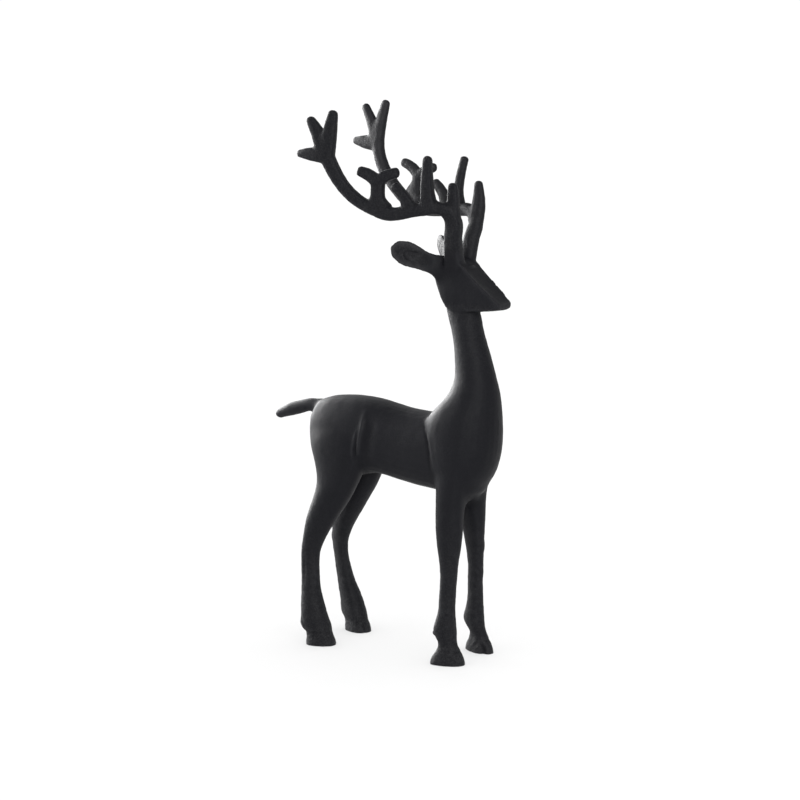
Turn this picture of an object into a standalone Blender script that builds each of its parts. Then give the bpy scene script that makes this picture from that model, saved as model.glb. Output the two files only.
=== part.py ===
"""A standing stag, cast in one piece with its antlers, ears and tail.

The figure faces +X with its left side towards +Y and stands on four hooves cut flat at z = 0.
Every form is a closed loft through a few named sections. The lofts overlap, a voxel remesh
casts them as one skin, a brush softens the joins, and the skin is then thinned to flat faces.
All sizes below are in millimetres.
"""

import math

import bmesh
import bpy
import numpy as np

MM = 0.001

HEIGHT = 450.0
VOXEL = 1.25
TRIANGLES = 9600
SIDES = 32
STEP = 2.5

RIGHT, LEFT = -1, 1

# Trunk: x, top, bottom, half width, height of the widest line.
TRUNK = [
    (-71.0, 204.4, 147.0, 23.6, 177.0),
    (-64.0, 206.4, 141.0, 25.9, 176.0),
    (-54.0, 207.7, 138.8, 27.0, 176.0),
    (-38.0, 208.2, 141.5, 27.2, 177.0),
    (-20.0, 206.9, 145.6, 26.0, 177.0),
    (-4.0, 204.0, 143.8, 25.0, 175.0),
    (14.0, 201.4, 140.8, 25.0, 172.0),
    (34.0, 200.5, 138.4, 25.5, 170.0),
    (62.0, 198.7, 137.0, 25.0, 168.0),
]
RUMP_LENGTH = 12.6
TRUNK_POWER = 2.35

# Neck and chest: height, back, front, half width.
NECK = [
    (298.0, 43.2, 68.0, 8.6),
    (284.0, 46.0, 75.0, 10.4),
    (270.0, 50.5, 77.8, 11.8),
    (255.0, 53.4, 82.5, 13.2),
    (240.0, 54.6, 87.0, 14.7),
    (226.0, 53.5, 90.8, 17.4),
    (217.0, 49.2, 92.4, 20.2),
    (208.0, 41.6, 93.2, 23.6),
    (200.0, 34.8, 93.6, 26.3),
    (192.0, 32.6, 93.7, 27.8),
    (182.0, 33.2, 93.4, 28.5),
    (169.0, 36.0, 91.3, 28.7),
    (155.0, 39.6, 86.8, 27.0),
    (144.0, 44.0, 80.0, 23.0),
]
CHEST_DROP = 11.0
CHEST_BACK_POWER = 3.0
CHEST_FRONT_POWER = 2.0

# Folds pressed in or raised along a path of the left side: rise, half width, path.
FOLDS = [
    (-2.0, 5.0, [(-14.6, 19.0, 200.0), (-15.0, 26.0, 184.0), (-18.0, 27.0, 170.0), (-20.5, 22.0, 150.0)]),
    (1.5, 2.2, [(-22.0, 18.0, 202.0), (-21.6, 25.5, 186.0), (-24.5, 27.0, 169.0), (-28.5, 25.0, 155.0)]),
    (-2.6, 2.2, [(70.9, 16.4, -6.0), (70.0, 17.2, 4.0), (68.0, 18.4, 10.0)]),
    (-1.6, 1.6, [(-51.0, 21.5, -6.0), (-52.0, 22.2, 3.0), (-53.0, 23.0, 9.0)]),
]
# Places where the joins are soft: reach each way and middle, on the left side.
SOFT = [
    ((50.0, 60.0, 26.0), (-45.0, 10.0, 190.0)),
    ((28.0, 60.0, 32.0), (68.0, 10.0, 153.0)),
    ((22.0, 60.0, 14.0), (40.0, 0.0, 205.0)),
    ((20.0, 26.0, 16.0), (60.0, 6.0, 132.0)),
    ((12.0, 14.0, 16.0), (41.0, 10.0, 312.0)),
    ((12.0, 10.0, 11.0), (-85.0, 3.0, 188.0)),
    ((26.0, 60.0, 34.0), (-72.0, 10.0, 164.0)),
]
BODY_ROUNDS = 24
ALL_ROUNDS = 2

# Legs: height, centre x, centre y, half depth, half width. The toes turn in.
TOE_TURN = math.radians(20.0)
FRONT_LEG = [
    (186.0, 66.0, 12.0, 12.0, 10.0),
    (172.0, 64.5, 14.0, 17.0, 12.8),
    (158.0, 62.0, 15.2, 16.5, 12.6),
    (140.0, 59.4, 16.0, 12.9, 11.5),
    (124.0, 58.5, 17.0, 11.8, 9.8),
    (110.0, 58.8, 18.5, 11.1, 8.0),
    (97.0, 59.4, 19.4, 10.1, 6.6),
    (86.0, 59.7, 20.2, 8.4, 6.0),
    (72.0, 60.0, 21.0, 7.1, 5.7),
    (55.0, 59.3, 21.8, 6.9, 5.5),
    (39.0, 58.6, 22.4, 7.6, 6.4),
    (24.0, 58.2, 22.9, 9.3, 7.1),
    (15.5, 61.2, 23.8, 8.0, 5.8),
    (9.0, 61.7, 24.4, 11.3, 7.1),
    (3.0, 61.7, 24.9, 14.1, 8.0),
    (-2.0, 61.7, 25.0, 14.5, 8.2),
]
HIND_LEG = [
    (202.0, -46.0, 8.0, 12.0, 6.0),
    (190.0, -47.3, 11.6, 21.8, 12.0),
    (178.0, -48.9, 14.3, 28.0, 14.2),
    (160.0, -49.1, 15.3, 27.0, 14.2),
    (144.0, -50.0, 16.4, 20.7, 12.8),
    (130.0, -53.5, 17.3, 17.2, 11.5),
    (116.0, -60.2, 18.3, 15.0, 10.6),
    (102.0, -67.0, 19.4, 12.6, 9.2),
    (91.0, -71.6, 20.2, 10.3, 7.4),
    (78.0, -75.0, 21.6, 8.3, 5.5),
    (60.0, -74.4, 23.6, 7.8, 5.2),
    (45.0, -72.3, 25.8, 8.4, 6.4),
    (34.0, -69.9, 27.4, 9.9, 7.7),
    (22.0, -67.0, 28.3, 11.8, 8.8),
    (15.0, -65.4, 28.2, 12.7, 9.0),
    (9.0, -62.5, 27.8, 11.2, 8.6),
    (3.0, -61.3, 27.6, 12.6, 9.4),
    (-2.0, -61.1, 27.6, 12.8, 9.6),
]
LEG_POWER = 2.3

# The arch between the forelegs: distance from the middle, centre x, centre height, half length,
# half height.
ARCH = [
    (0.0, 60.0, 137.5, 11.0, 7.5),
    (4.0, 60.0, 137.0, 11.0, 7.6),
    (9.0, 59.8, 135.0, 11.2, 8.2),
    (18.0, 59.0, 132.0, 11.0, 9.0),
]

# Head: x, ridge height, crown rise, half width at the ridge, half width at the jaw, jaw height.
HEAD = [
    (38.0, 314.5, 0.8, 9.0, 8.6, 309.0),
    (40.6, 317.5, 1.0, 11.0, 10.4, 303.6),
    (44.6, 321.2, 1.2, 12.3, 11.2, 296.6),
    (49.2, 324.4, 1.2, 12.9, 11.0, 288.4),
    (57.0, 326.8, 1.0, 13.1, 10.7, 286.4),
    (62.5, 326.4, 0.6, 13.0, 10.4, 286.2),
    (69.8, 319.1, -0.4, 12.7, 10.1, 286.5),
    (79.0, 310.5, -1.0, 12.3, 9.8, 287.1),
    (87.4, 303.6, -1.0, 11.7, 9.4, 288.1),
    (95.0, 297.0, -0.6, 11.0, 9.1, 289.0),
    (98.6, 293.8, 0.0, 10.3, 8.9, 289.5),
]

EAR_ROOT = (46.0, 9.0, 319.2)
EAR_TIP = (14.2, 36.3, 337.4)
EAR_FACE = (0.65, 0.74, 0.10)
EAR_BACK = 4.2
EAR_RIM = 2.4
EAR_DISH = 4.6
# Ear outline from the root to the tip: share of the length, half width.
EAR_LEAF = [
    (0.0, 11.4), (0.1, 10.0), (0.22, 8.5), (0.4, 8.5), (0.6, 9.8), (0.75, 9.8), (0.88, 7.8), (0.96, 4.7),
    (1.0, 0.8),
]

# Tail: x, height, half thickness, half width.
TAIL = [
    (-74.0, 196.8, 7.0, 7.5),
    (-79.5, 195.2, 9.0, 6.8),
    (-83.0, 195.6, 7.4, 6.2),
    (-87.0, 196.1, 5.8, 5.8),
    (-98.0, 194.0, 5.5, 5.6),
    (-110.0, 190.4, 5.4, 5.4),
    (-119.3, 186.8, 4.3, 4.2),
]
TAIL_TIP = 6.5

# Beams: x, distance from the middle, height, then the two half thicknesses. They were carved
# one at a time and differ a little.
BEAM = {
    RIGHT: [
        (56.0, 5.0, 312.0, 9.6, 6.2),
        (57.0, 9.2, 325.0, 8.6, 5.8),
        (57.8, 11.5, 333.0, 7.6, 5.7),
        (59.1, 14.5, 346.0, 7.2, 5.6),
        (60.8, 17.3, 359.0, 7.0, 5.4),
        (54.5, 20.5, 367.8, 5.5, 5.2),
        (43.0, 24.0, 368.0, 5.2, 5.0),
        (26.0, 27.3, 365.3, 5.3, 5.0),
        (8.5, 29.5, 362.5, 5.5, 5.0),
        (-4.5, 31.0, 365.6, 5.2, 5.0),
        (-18.0, 32.5, 371.6, 5.1, 5.0),
        (-29.8, 34.5, 380.9, 5.3, 5.0),
        (-39.4, 36.0, 393.7, 5.7, 5.0),
        (-46.0, 37.5, 406.4, 6.2, 5.0),
    ],
    LEFT: [
        (56.4, 5.0, 312.0, 9.0, 6.2),
        (57.2, 9.2, 325.0, 8.0, 5.8),
        (58.0, 11.5, 333.0, 7.2, 5.7),
        (59.7, 14.5, 346.0, 6.6, 5.6),
        (61.2, 17.3, 357.5, 5.8, 5.4),
        (54.0, 20.5, 363.9, 5.6, 5.2),
        (42.0, 24.0, 364.0, 5.5, 5.0),
        (26.0, 27.3, 363.0, 5.4, 5.0),
        (8.5, 29.5, 361.9, 5.3, 5.0),
        (-5.2, 31.0, 364.0, 5.2, 5.0),
        (-19.4, 32.5, 372.4, 5.1, 5.0),
        (-32.4, 34.5, 384.6, 5.1, 5.0),
        (-42.2, 36.0, 399.0, 5.1, 5.0),
        (-46.9, 37.5, 413.0, 5.6, 5.0),
    ],
}
# Tines: the beam's row that each grows from, then its places from there and half thicknesses.
TINES = {
    RIGHT: [
        (4, [(0.5, 0.0, -2.0, 6.4, 4.8), (0.6, 0.7, 13.5, 5.2, 3.6), (0.2, 1.1, 26.9, 4.4, 2.6)]),
        (6, [(-0.6, 1.0, -0.5, 9.0, 5.0), (-0.4, 2.0, 8.5, 6.4, 4.6), (-0.4, 2.8, 18.5, 5.2, 4.2),
             (0.6, 4.2, 38.8, 4.0, 3.2)]),
        (7, [(1.0, 0.3, 2.0, 6.4, 4.6), (-2.6, 0.8, 9.2, 5.0, 4.1), (-11.8, 1.7, 19.0, 4.3, 3.2)]),
        (9, [(2.2, -1.0, 3.0, 12.4, 5.0), (2.0, -0.9, 9.0, 6.8, 4.8), (2.2, -0.8, 14.5, 5.7, 4.6),
             (2.4, -0.6, 23.0, 6.0, 4.4)]),
        (9, [(2.4, -0.6, 22.4, 5.2, 4.2), (-5.0, 0.2, 27.4, 5.1, 3.9), (-12.9, 0.8, 30.1, 4.5, 3.5)]),
        (9, [(2.4, -0.6, 22.4, 5.2, 4.2), (10.2, -1.8, 27.5, 4.9, 3.9), (18.2, -2.8, 30.0, 4.4, 3.5)]),
        (13, [(-1.0, 0.3, 1.4, 6.6, 5.0), (-12.5, 1.9, 2.1, 5.9, 4.2), (-24.0, 3.1, 2.5, 3.4, 2.6)]),
        (13, [(-1.0, 0.1, -1.0, 7.4, 5.0), (-6.5, 0.9, 15.5, 6.4, 4.3), (-14.6, 1.9, 29.2, 3.9, 3.1)]),
        (13, [(-0.3, 0.0, -1.0, 6.2, 5.0), (2.3, 0.0, 17.0, 6.1, 4.5), (5.6, -0.2, 34.8, 4.2, 3.3)]),
    ],
    LEFT: [
        (4, [(-0.8, 0.0, -2.0, 7.0, 5.0), (2.0, 0.7, 14.0, 5.9, 4.0), (1.3, 1.1, 27.9, 3.8, 2.8)]),
        (6, [(-2.0, 1.0, 1.0, 7.6, 5.0), (-3.1, 1.9, 10.0, 4.7, 4.6), (-2.9, 2.8, 20.0, 4.1, 4.0),
             (1.1, 4.2, 39.8, 3.8, 3.1)]),
        (7, [(0.8, 0.3, 2.0, 6.0, 4.6), (-1.8, 0.8, 10.4, 5.2, 4.1), (-10.4, 1.7, 21.2, 4.1, 3.0)]),
        (9, [(0.6, -1.0, 4.0, 13.6, 5.0), (-0.6, -0.9, 11.5, 9.4, 4.7), (1.6, -0.8, 18.0, 5.8, 4.6),
             (2.8, -0.6, 26.6, 5.2, 4.4)]),
        (9, [(2.8, -0.6, 25.6, 5.0, 4.2), (-3.6, 0.2, 31.8, 4.5, 3.9), (-11.3, 0.8, 35.4, 4.0, 3.4)]),
        (9, [(2.8, -0.6, 25.6, 5.0, 4.2), (10.7, -1.8, 29.4, 4.6, 3.9), (18.6, -2.8, 32.6, 3.9, 3.3)]),
        (13, [(-1.0, 0.3, 0.7, 6.8, 5.0), (-11.8, 1.9, 1.5, 6.1, 4.4), (-23.4, 3.1, 2.3, 3.4, 2.8)]),
        (13, [(0.1, 0.1, -1.0, 6.6, 5.0), (-4.6, 0.9, 14.5, 5.5, 4.3), (-12.8, 1.9, 30.2, 4.0, 2.9)]),
        (13, [(-0.3, 0.0, -1.0, 5.7, 5.0), (3.0, 0.0, 17.0, 5.3, 4.5), (8.1, -0.2, 33.8, 4.1, 3.3)]),
    ],
}
TINE_TIP = 3.4
ANTLER_POWER = 3.2
ANTLER_GIRTH = 0.965
ANTLER_SPLAY = 0.32


def fair(rows, step=STEP):
    """Rows read along a natural cubic spline through the given ones, about a step apart."""
    rows = np.asarray(rows, float)
    count = len(rows)
    gaps = np.linalg.norm(np.diff(rows[:, :3], axis=0), axis=1)
    knots = np.concatenate([[0.0], np.cumsum(gaps)])
    matrix = np.eye(count)
    target = np.zeros_like(rows)
    for i in range(1, count - 1):
        matrix[i, i - 1 : i + 2] = gaps[i - 1], 2.0 * (gaps[i - 1] + gaps[i]), gaps[i]
        target[i] = 6.0 * ((rows[i + 1] - rows[i]) / gaps[i] - (rows[i] - rows[i - 1]) / gaps[i - 1])
    bend = np.linalg.solve(matrix, target)
    places = np.linspace(0.0, knots[-1], max(3, round(knots[-1] / step) + 1))
    span = np.clip(np.searchsorted(knots, places, side="right") - 1, 0, count - 2)
    before = (knots[span + 1] - places)[:, None]
    after = (places - knots[span])[:, None]
    width = gaps[span][:, None]
    return (
        (bend[span] * before**3 + bend[span + 1] * after**3) / (6.0 * width)
        + (rows[span] / width - bend[span] * width / 6.0) * before
        + (rows[span + 1] / width - bend[span + 1] * width / 6.0) * after
    )


def oval(power):
    """Points of a unit superellipse; a power of 2 is a circle and a higher one is squarer."""
    turn = np.linspace(0.0, 2.0 * math.pi, SIDES, endpoint=False)
    across, along = np.cos(turn), np.sin(turn)
    grow = (np.abs(across) ** power + np.abs(along) ** power) ** (-1.0 / power)
    return across * grow, along * grow


def unit(vector):
    vector = np.asarray(vector, float)
    return vector / np.linalg.norm(vector)


def rounded(size, steps=5):
    """Offset and scale of the rings of a round end that is size long."""
    angles = np.linspace(0.0, 0.5 * math.pi, steps + 1)[1:]
    return [(size * math.sin(a), max(math.cos(a), 0.04)) for a in angles]


class Casting:
    """The closed lofts of the figure, gathered in one mesh before they are cast as one."""

    def __init__(self):
        self.mesh = bmesh.new()

    def loft(self, rings):
        rows = [[self.mesh.verts.new(point) for point in ring] for ring in rings]
        count = len(rows[0])
        faces = []
        for low, high in zip(rows, rows[1:]):
            for i in range(count):
                j = (i + 1) % count
                faces.append(self.mesh.faces.new((low[i], low[j], high[j], high[i])))
        faces.append(self.mesh.faces.new(rows[0][::-1]))
        faces.append(self.mesh.faces.new(rows[-1]))
        bmesh.ops.recalc_face_normals(self.mesh, faces=faces)

    def tube(self, rows, power, start=0.0, end=0.0, splay=0.0):
        """A limb through rows of x, y, z and two half thicknesses, with round ends. Its flat sides
        face left and right, and are turned by the splay behind the brow."""
        rows = fair(rows)
        centres = rows[:, :3]
        ways = np.gradient(centres, axis=0)
        first, last = unit(ways[0]), unit(ways[-1])
        stations = [(c, unit(w), a, b) for c, w, (a, b) in zip(centres, ways, rows[:, 3:5])]
        if start:
            a, b = rows[0, 3:5]
            ends = [(centres[0] - first * out, first, a * s, b * s) for out, s in rounded(start)]
            stations = ends[::-1] + stations
        if end:
            a, b = rows[-1, 3:5]
            stations += [(centres[-1] + last * out, last, a * s, b * s) for out, s in rounded(end)]
        across, along = oval(power)
        rings = []
        for centre, way, a, b in stations:
            face = np.array([splay * np.clip((50.0 - centre[0]) / 30.0, 0.0, 1.0), 1.0, 0.0])
            side = unit(face - way * way.dot(face))
            other = np.cross(side, way)
            rings.append(centre + np.outer(across * a, other) + np.outer(along * b, side))
        self.loft(rings)


def add_trunk(casting):
    rows = fair(TRUNK)
    up, side = oval(TRUNK_POWER)
    rings = []
    x, top, bottom, half, wide = rows[0]
    stations = [
        (x - out, wide + (top - wide) * s, wide - (wide - bottom) * s, half * s, wide)
        for out, s in rounded(RUMP_LENGTH, 7)
    ][::-1]
    for x, top, bottom, half, wide in stations + list(rows):
        height = np.where(up > 0.0, top - wide, wide - bottom)
        rings.append(np.stack([np.full(SIDES, x), side * half, wide + up * height], axis=1))
    casting.loft(rings)


def add_neck(casting):
    rows = fair(NECK)
    back_along, back_side = oval(CHEST_BACK_POWER)
    fore_along, fore_side = oval(CHEST_FRONT_POWER)
    rings = []
    z, back, front, half = rows[-1]
    middle = 0.5 * (back + front)
    stations = list(rows) + [
        (z - out, middle + (back - middle) * s, middle + (front - middle) * s, half * s)
        for out, s in rounded(CHEST_DROP, 6)
    ]
    for z, back, front, half in stations:
        middle, reach = 0.5 * (back + front), 0.5 * (front - back)
        mix = np.clip((NECK[4][0] - z) / 34.0, 0.0, 1.0)
        mix *= mix * (3.0 - 2.0 * mix)
        along = np.where(fore_along < 0.0, mix * back_along + (1.0 - mix) * fore_along, fore_along)
        side = np.where(fore_along < 0.0, mix * back_side + (1.0 - mix) * fore_side, fore_side)
        rings.append(np.stack([middle + along * reach, side * half, np.full(SIDES, z)], axis=1))
    casting.loft(rings)


def add_leg(casting, rows, flank):
    turn = -flank * TOE_TURN
    along, side = oval(LEG_POWER)
    rings = []
    for z, x, y, depth, width in fair(rows):
        share = min(1.0, max(0.0, (140.0 - z) / 40.0))
        angle = turn * share
        dx = along * depth * math.cos(angle) - side * width * math.sin(angle)
        dy = along * depth * math.sin(angle) + side * width * math.cos(angle)
        rings.append(np.stack([x + dx, flank * y + dy, np.full(SIDES, z)], axis=1))
    casting.loft(rings)


def add_head(casting):
    rings = []
    for x, ridge, crown, brow, jaw, chin in HEAD:
        outline = [
            (-brow, ridge), (-0.5 * brow, ridge + 0.75 * crown), (0.0, ridge + crown),
            (0.5 * brow, ridge + 0.75 * crown), (brow, ridge),
            (jaw + 0.35 * (brow - jaw) + 0.8, ridge + 0.62 * (chin - ridge)),
            (jaw, chin), (0.5 * jaw, chin - 0.8), (0.0, chin - 1.0), (-0.5 * jaw, chin - 0.8), (-jaw, chin),
            (-(jaw + 0.35 * (brow - jaw) + 0.8), ridge + 0.62 * (chin - ridge)),
        ]
        rings.append([(x, y, z) for y, z in outline])
    casting.loft(rings)


def add_ear(casting, flank):
    mirror = np.array([1.0, flank, 1.0])
    root, tip = np.array(EAR_ROOT) * mirror, np.array(EAR_TIP) * mirror
    way = unit(tip - root)
    face = np.array(EAR_FACE) * mirror
    face = unit(face - way * face.dot(way))
    across = np.cross(way, face)
    length = np.linalg.norm(tip - root)
    turn = np.linspace(0.0, 2.0 * math.pi, SIDES, endpoint=False)
    c, s = np.cos(turn), np.sin(turn)
    rings = []
    for share, half in fair([(share, 0.0, 0.0, half) for share, half in EAR_LEAF], 0.05)[:, (0, 3)]:
        plump = half / max(half for _, half in EAR_LEAF)
        hollow = EAR_DISH * math.sin(math.pi * min(1.0, max(0.0, (share - 0.2) / 0.75))) ** 0.8
        thick = 0.35 + 0.65 * plump
        front = EAR_RIM * thick * np.abs(s) - hollow * (s * s) ** 2
        back = -EAR_BACK * thick * np.abs(s)
        depth = np.where(s > 0.0, front, back)
        centre = root + way * length * share
        rings.append(centre + np.outer(c * half, across) + np.outer(depth, face))
    casting.loft(rings)


def add_arch(casting):
    across, up = oval(2.4)
    rows = [(-y, x, z, a, b) for y, x, z, a, b in ARCH[:0:-1]] + ARCH
    rings = [np.stack([x + a * across, np.full(SIDES, y), z + b * up], axis=1) for y, x, z, a, b in rows]
    casting.loft(rings)


def add_tail(casting):
    rows = [(x, 0.0, z, thick, wide) for x, z, thick, wide in TAIL]
    casting.tube(rows, 2.2, end=TAIL_TIP)


def add_antler(casting, flank):
    beam = np.array(BEAM[flank])
    beam[:, 1] *= flank
    beam[:, 3:] *= ANTLER_GIRTH
    casting.tube(beam, ANTLER_POWER, end=4.0, splay=flank * ANTLER_SPLAY)
    for row, places in TINES[flank]:
        tine = np.array(places)
        tine[:, 1] *= flank
        tine[:, :3] += beam[row, :3]
        tine[:, 3:] *= ANTLER_GIRTH
        casting.tube(tine, ANTLER_POWER, start=3.0, end=TINE_TIP, splay=flank * ANTLER_SPLAY)


def along_path(points, path):
    """How far each point is from a path of straight lines, and how far along it lies (0 to 1)."""
    nearest = np.full(len(points), np.inf)
    place = np.zeros(len(points))
    count = len(path) - 1
    for i in range(count):
        start, run = np.array(path[i]), np.subtract(path[i + 1], path[i])
        share = np.clip((points - start).dot(run) / run.dot(run), 0.0, 1.0)
        gap = np.linalg.norm(points - start - share[:, None] * run, axis=1)
        place = np.where(gap < nearest, (i + share) / count, place)
        nearest = np.minimum(nearest, gap)
    return nearest, place


def blend(points, edges, shares, rounds):
    """Each point drawn towards the middle of its neighbours, by its share, round after round."""
    ends = np.concatenate([edges, edges[:, ::-1]])
    count = np.bincount(ends[:, 0], minlength=len(points))[:, None]
    for _ in range(rounds):
        middle = [np.bincount(ends[:, 0], points[ends[:, 1], k], len(points)) for k in range(3)]
        points = points + (np.stack(middle, axis=1) / count - points) * shares[:, None]
    return points


def model_skin(mesh, voxel):
    """The joins softened as a modeller's thumb leaves them, then the folds pressed in."""
    points = np.empty(3 * len(mesh.vertices))
    mesh.vertices.foreach_get("co", points)
    points = points.reshape(-1, 3)
    edges = np.empty(2 * len(mesh.edges), int)
    mesh.edges.foreach_get("vertices", edges)
    edges = edges.reshape(-1, 2)
    body = np.zeros(len(points))
    for reach, middle in SOFT:
        away = np.linalg.norm((points - middle) / reach, axis=1)
        body = np.maximum(body, np.clip(1.6 * (1.0 - away), 0.0, 1.0))
        away = np.linalg.norm((points * (1.0, -1.0, 1.0) - middle) / reach, axis=1)
        body = np.maximum(body, np.clip(1.6 * (1.0 - away), 0.0, 1.0))
    scale = (VOXEL / voxel) ** 2
    points = blend(points, edges, 0.5 * body, round(BODY_ROUNDS * scale))
    points = blend(points, edges, np.full(len(points), 0.5), round(ALL_ROUNDS * scale))
    mesh.vertices.foreach_set("co", points.ravel())
    mesh.update()
    normals = np.empty(3 * len(points))
    mesh.vertices.foreach_get("normal", normals)
    height = np.zeros(len(points))
    for rise, width, path in FOLDS:
        for mirror in ((1.0, 1.0, 1.0), (1.0, -1.0, 1.0)):
            gap, place = along_path(points * mirror, path)
            fade = np.clip(3.0 * np.minimum(place, 1.0 - place), 0.0, 1.0)
            height += rise * fade * np.exp(-((gap / width) ** 2))
    points += normals.reshape(-1, 3) * height[:, None]
    mesh.vertices.foreach_set("co", points.ravel())
    mesh.update()


def cast_figure(voxel):
    """All the lofts as one skin."""
    casting = Casting()
    add_trunk(casting)
    add_neck(casting)
    add_head(casting)
    add_tail(casting)
    add_arch(casting)
    for flank in (RIGHT, LEFT):
        add_leg(casting, FRONT_LEG, flank)
        add_leg(casting, HIND_LEG, flank)
        add_ear(casting, flank)
        add_antler(casting, flank)
    mesh = bpy.data.meshes.new("lofts")
    casting.mesh.to_mesh(mesh)
    casting.mesh.free()
    lofts = bpy.data.objects.new("lofts", mesh)
    bpy.context.collection.objects.link(lofts)
    remesh = lofts.modifiers.new("cast", "REMESH")
    remesh.mode = "VOXEL"
    remesh.voxel_size = voxel
    graph = bpy.context.evaluated_depsgraph_get()
    skin = bpy.data.meshes.new_from_object(lofts.evaluated_get(graph))
    bpy.data.objects.remove(lofts)
    model_skin(skin, voxel)
    return skin


def stand_flat(mesh):
    """The skin cut flat at the ground and centred over it, scaled to its height, in metres."""
    skin = bmesh.new()
    skin.from_mesh(mesh)
    geometry = skin.verts[:] + skin.edges[:] + skin.faces[:]
    cut = bmesh.ops.bisect_plane(
        skin, geom=geometry, dist=1e-5, plane_co=(0, 0, 0), plane_no=(0, 0, 1), clear_inner=True
    )
    rim = [edge for edge in cut["geom_cut"] if isinstance(edge, bmesh.types.BMEdge)]
    bmesh.ops.holes_fill(skin, edges=rim, sides=0)
    places = np.array([vertex.co[:] for vertex in skin.verts])
    low, high = places.min(axis=0), places.max(axis=0)
    for vertex in skin.verts:
        vertex.co.x -= 0.5 * (low[0] + high[0])
        vertex.co.y -= 0.5 * (low[1] + high[1])
        vertex.co *= MM * HEIGHT / high[2]
    bmesh.ops.triangulate(skin, faces=[face for face in skin.faces if len(face.verts) > 4])
    bmesh.ops.recalc_face_normals(skin, faces=skin.faces)
    skin.to_mesh(mesh)
    skin.free()


def main():
    for thing in list(bpy.data.objects):
        bpy.data.objects.remove(thing)
    skin = cast_figure(VOXEL)
    deer = bpy.data.objects.new("deer", skin)
    bpy.context.collection.objects.link(deer)
    triangles = sum(len(face.vertices) - 2 for face in skin.polygons)
    thin = deer.modifiers.new("thin", "DECIMATE")
    thin.ratio = TRIANGLES / triangles
    thin.use_collapse_triangulate = True
    graph = bpy.context.evaluated_depsgraph_get()
    faceted = bpy.data.meshes.new_from_object(deer.evaluated_get(graph))
    deer.modifiers.clear()
    stand_flat(faceted)
    deer.data = faceted
    coat = bpy.data.materials.new("black_coat")
    coat.use_nodes = True
    shader = coat.node_tree.nodes["Principled BSDF"]
    shader.inputs["Base Color"].default_value = (0.012, 0.0125, 0.014, 1.0)
    shader.inputs["Roughness"].default_value = 0.6
    shader.inputs["Metallic"].default_value = 0.0
    deer.data.materials.append(coat)
    deer.data.shade_flat()


main()
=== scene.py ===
"""A standing stag, cast in one piece in black coated metal, on a pale studio floor.

The figure faces +X with its left side towards +Y and stands on four hooves cut flat at z = 0.
Every form is a closed loft through a few named sections, in millimetres. The lofts are cast as
one skin, the joins are softened, the folds are pressed in, and the skin is fitted to its size.
"""

import math

import bmesh
import bpy
import numpy as np
from bpy.props import FloatProperty, FloatVectorProperty, IntProperty, PointerProperty
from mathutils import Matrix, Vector, noise


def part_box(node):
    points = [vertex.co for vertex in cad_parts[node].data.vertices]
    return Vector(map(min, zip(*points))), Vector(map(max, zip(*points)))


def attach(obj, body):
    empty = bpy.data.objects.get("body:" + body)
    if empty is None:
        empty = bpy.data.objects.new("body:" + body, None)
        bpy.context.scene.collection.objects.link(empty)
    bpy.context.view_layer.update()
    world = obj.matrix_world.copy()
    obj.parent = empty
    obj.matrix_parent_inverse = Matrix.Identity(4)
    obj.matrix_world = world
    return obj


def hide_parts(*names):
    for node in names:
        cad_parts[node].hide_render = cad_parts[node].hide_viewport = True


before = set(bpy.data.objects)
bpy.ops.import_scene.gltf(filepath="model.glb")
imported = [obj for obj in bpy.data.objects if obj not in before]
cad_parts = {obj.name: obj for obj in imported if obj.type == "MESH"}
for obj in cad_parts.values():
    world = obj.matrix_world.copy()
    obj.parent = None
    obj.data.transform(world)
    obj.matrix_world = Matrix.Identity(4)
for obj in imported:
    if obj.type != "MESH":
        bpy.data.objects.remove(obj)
LOW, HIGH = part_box("deer")

bl_info = {
    "name": "Cast Stag",
    "version": (1, 0, 0),
    "blender": (4, 5, 0),
    "location": "3D View > Sidebar > Stag",
    "description": "Casts a standing stag in black coated metal and sets up a pale studio",
    "category": "Add Mesh",
}

MM = 0.001
# Points round a section of a loft, and the step between its sections, in millimetres.
SIDES = 32
STEP = 2.5
# The skin step that the rounds of smoothing are counted for, in millimetres.
VOXEL = 1.25

RIGHT, LEFT = -1, 1

# Trunk: x, top, bottom, half width, height of the widest line.
TRUNK = [
    (-71.0, 204.4, 147.0, 23.6, 177.0),
    (-64.0, 206.4, 141.0, 25.9, 176.0),
    (-54.0, 207.7, 138.8, 27.0, 176.0),
    (-38.0, 208.2, 141.5, 27.2, 177.0),
    (-20.0, 206.9, 145.6, 26.0, 177.0),
    (-4.0, 204.0, 143.8, 25.0, 175.0),
    (14.0, 201.4, 140.8, 25.0, 172.0),
    (34.0, 200.5, 138.4, 25.5, 170.0),
    (62.0, 198.7, 137.0, 25.0, 168.0),
]
RUMP_LENGTH = 12.6
TRUNK_POWER = 2.35

# Neck and chest: height, back, front, half width.
NECK = [
    (298.0, 43.2, 68.0, 8.6),
    (284.0, 46.0, 75.0, 10.4),
    (270.0, 50.5, 77.8, 11.8),
    (255.0, 53.4, 82.5, 13.2),
    (240.0, 54.6, 87.0, 14.7),
    (226.0, 53.5, 90.8, 17.4),
    (217.0, 49.2, 92.4, 20.2),
    (208.0, 41.6, 93.2, 23.6),
    (200.0, 34.8, 93.6, 26.3),
    (192.0, 32.6, 93.7, 27.8),
    (182.0, 33.2, 93.4, 28.5),
    (169.0, 36.0, 91.3, 28.7),
    (155.0, 39.6, 86.8, 27.0),
    (144.0, 44.0, 80.0, 23.0),
]
CHEST_DROP = 11.0
CHEST_BACK_POWER = 3.0
CHEST_FRONT_POWER = 2.0

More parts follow.
